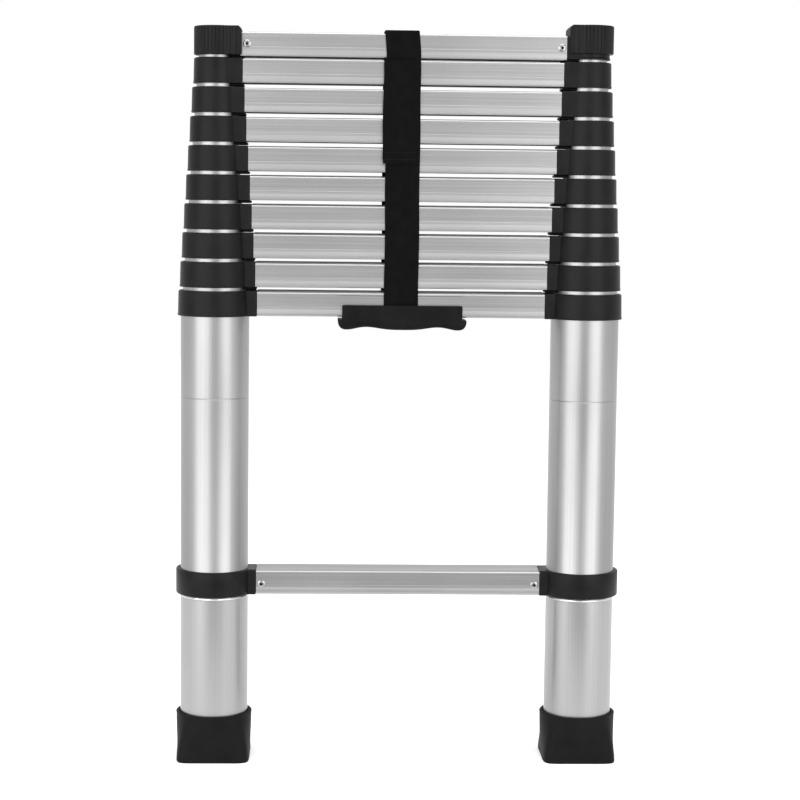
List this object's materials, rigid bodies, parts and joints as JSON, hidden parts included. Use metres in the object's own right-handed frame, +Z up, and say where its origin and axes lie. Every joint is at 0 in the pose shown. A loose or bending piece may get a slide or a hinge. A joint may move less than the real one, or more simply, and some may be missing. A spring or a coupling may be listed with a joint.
{
  "type": "telescoping ladder",
  "caption": "Telescoping aluminium ladder, collapsed: nested round stile tubes with black collars, hollow rungs, rubber boots and a carry strap with a handle.",
  "frame": {"origin": "on the floor, midway between the two stiles", "axes": "+Z up along the stiles, +X to the right seen from the front, which faces -Y"},
  "size_m": [0.4608, 0.0794, 0.7599],
  "materials": {
    "stile_aluminium": "satin anodised, fine vertical draw lines",
    "rung_aluminium": "extruded, fine lines along the rung",
    "collar_plastic": "moulded black nylon, satin",
    "boot_rubber": "black rubber, dull",
    "webbing": "woven black webbing",
    "handle_plastic": "moulded black grip"
  },
  "bodies": {
    "base": {"left_foot": "boot_rubber", "left_base_collar": "collar_plastic", "left_tube_1": "stile_aluminium", "left_collar_1": "collar_plastic", "right_foot": "boot_rubber", "right_base_collar": "collar_plastic", "right_tube_1": "stile_aluminium", "right_collar_1": "collar_plastic", "base_rung": "rung_aluminium", "rung_1": "rung_aluminium", "carry_handle": "handle_plastic", "carry_strap": "webbing", "strap_flap": "webbing"},
    "section_2": {"left_tube_2": "stile_aluminium", "right_tube_2": "stile_aluminium", "rung_2": "rung_aluminium", "left_collar_2": "collar_plastic", "right_collar_2": "collar_plastic"},
    "section_3": {"left_tube_3": "stile_aluminium", "right_tube_3": "stile_aluminium", "rung_3": "rung_aluminium", "left_collar_3": "collar_plastic", "right_collar_3": "collar_plastic"},
    "section_4": {"left_tube_4": "stile_aluminium", "right_tube_4": "stile_aluminium", "rung_4": "rung_aluminium", "left_collar_4": "collar_plastic", "right_collar_4": "collar_plastic"},
    "section_5": {"left_tube_5": "stile_aluminium", "right_tube_5": "stile_aluminium", "rung_5": "rung_aluminium", "left_collar_5": "collar_plastic", "right_collar_5": "collar_plastic"},
    "section_6": {"left_tube_6": "stile_aluminium", "right_tube_6": "stile_aluminium", "rung_6": "rung_aluminium", "left_collar_6": "collar_plastic", "right_collar_6": "collar_plastic"},
    "section_7": {"left_tube_7": "stile_aluminium", "right_tube_7": "stile_aluminium", "rung_7": "rung_aluminium", "left_collar_7": "collar_plastic", "right_collar_7": "collar_plastic"},
    "section_8": {"left_tube_8": "stile_aluminium", "right_tube_8": "stile_aluminium", "rung_8": "rung_aluminium", "left_collar_8": "collar_plastic", "right_collar_8": "collar_plastic"},
    "section_9": {"left_tube_9": "stile_aluminium", "right_tube_9": "stile_aluminium", "rung_9": "rung_aluminium", "left_collar_9": "collar_plastic", "right_collar_9": "collar_plastic"},
    "section_10": {"left_tube_10": "stile_aluminium", "right_tube_10": "stile_aluminium", "rung_10": "rung_aluminium", "left_top_cap": "collar_plastic", "right_top_cap": "collar_plastic"},
    "left_release": {"left_release_slide": "collar_plastic"},
    "right_release": {"right_release_slide": "collar_plastic"}
  },
  "joints": [
    {"name": "section_2_slide", "type": "slide", "parent": "base", "child": "section_2", "axis": [0, 0, 1], "range_m": [0, 0.2585], "deforming": ["carry_strap", "strap_flap"]},
    {"name": "section_3_slide", "type": "slide", "parent": "section_2", "child": "section_3", "axis": [0, 0, 1], "range_m": [0, 0.2585]},
    {"name": "section_4_slide", "type": "slide", "parent": "section_3", "child": "section_4", "axis": [0, 0, 1], "range_m": [0, 0.2585]},
    {"name": "section_5_slide", "type": "slide", "parent": "section_4", "child": "section_5", "axis": [0, 0, 1], "range_m": [0, 0.2585]},
    {"name": "section_6_slide", "type": "slide", "parent": "section_5", "child": "section_6", "axis": [0, 0, 1], "range_m": [0, 0.2585]},
    {"name": "section_7_slide", "type": "slide", "parent": "section_6", "child": "section_7", "axis": [0, 0, 1], "range_m": [0, 0.2585]},
    {"name": "section_8_slide", "type": "slide", "parent": "section_7", "child": "section_8", "axis": [0, 0, 1], "range_m": [0, 0.2585]},
    {"name": "section_9_slide", "type": "slide", "parent": "section_8", "child": "section_9", "axis": [0, 0, 1], "range_m": [0, 0.2585]},
    {"name": "section_10_slide", "type": "slide", "parent": "section_9", "child": "section_10", "axis": [0, 0, 1], "range_m": [0, 0.2585]},
    {"name": "left_release", "type": "slide", "parent": "base", "child": "left_release", "axis": [1, 0, 0], "range_m": [0, 0.008], "stiffness_N_per_m": 400, "springref_m": -0.003},
    {"name": "right_release", "type": "slide", "parent": "base", "child": "right_release", "axis": [-1, 0, 0], "range_m": [0, 0.008], "stiffness_N_per_m": 400, "springref_m": -0.003}
  ]
}
